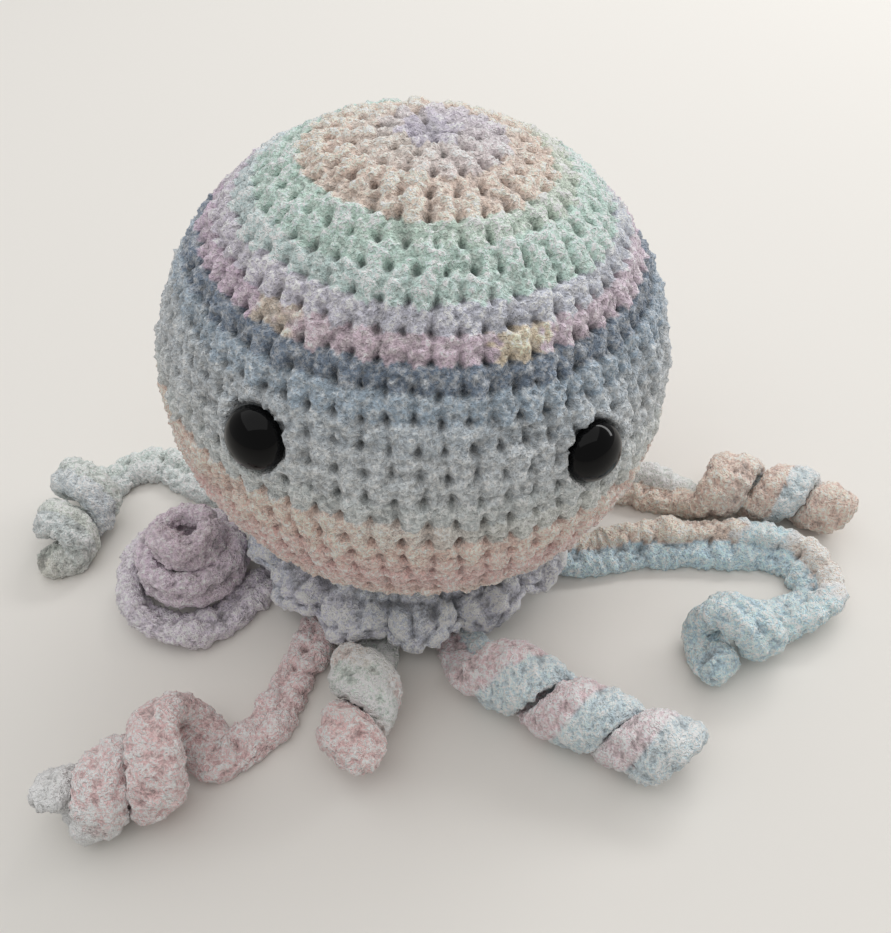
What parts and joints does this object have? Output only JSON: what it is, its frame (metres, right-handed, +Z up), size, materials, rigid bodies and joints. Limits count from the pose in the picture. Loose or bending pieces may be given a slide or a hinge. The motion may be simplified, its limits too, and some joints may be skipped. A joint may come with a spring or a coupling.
{
  "type": "crocheted plush jellyfish",
  "caption": "Crocheted stuffed jellyfish toy: a round bell with a smooth pair of eyes, a gathered ruffle at its foot and flat straps that end in fat corkscrew curls.",
  "frame": {"origin": "middle of the footprint, on the surface that the toy rests on", "axes": "+Z up, the face with the eyes looks towards -Y, +X to the right as the face is seen"},
  "size_m": [0.2666, 0.1906, 0.1392],
  "materials": {
    "bell_yarn": "chenille velvet pile yarn, single crochet, pastel bands",
    "filling_fibre": "loose white fibre",
    "eye_plastic": "polished black dome",
    "washer_plastic": "moulded natural plastic",
    "ruffle_yarn": "chenille velvet pile yarn, lavender grey",
    "yarn_back_left": "chenille velvet pile yarn, pale mint",
    "yarn_left": "chenille velvet pile yarn, mauve",
    "yarn_front_left": "chenille velvet pile yarn, pink",
    "yarn_front_centre": "chenille velvet pile yarn, pale mint and pink",
    "yarn_front_right": "chenille velvet pile yarn, light blue and pink",
    "yarn_right": "chenille velvet pile yarn, light blue and peach",
    "yarn_back_right": "chenille velvet pile yarn, peach and mint",
    "yarn_back": "chenille velvet pile yarn, pale mint"
  },
  "bodies": {
    "root": {"bell_skin": "bell_yarn", "filling": "filling_fibre", "eye_left": "eye_plastic", "eye_right": "eye_plastic", "eye_washer_left": "washer_plastic", "eye_washer_right": "washer_plastic", "ruffle": "ruffle_yarn", "tentacle_back_left": "yarn_back_left", "tentacle_left": "yarn_left", "tentacle_front_left": "yarn_front_left", "tentacle_front_centre": "yarn_front_centre", "tentacle_front_right": "yarn_front_right", "tentacle_right": "yarn_right", "tentacle_back_right": "yarn_back_right", "tentacle_back": "yarn_back"}
  },
  "joints": []
}
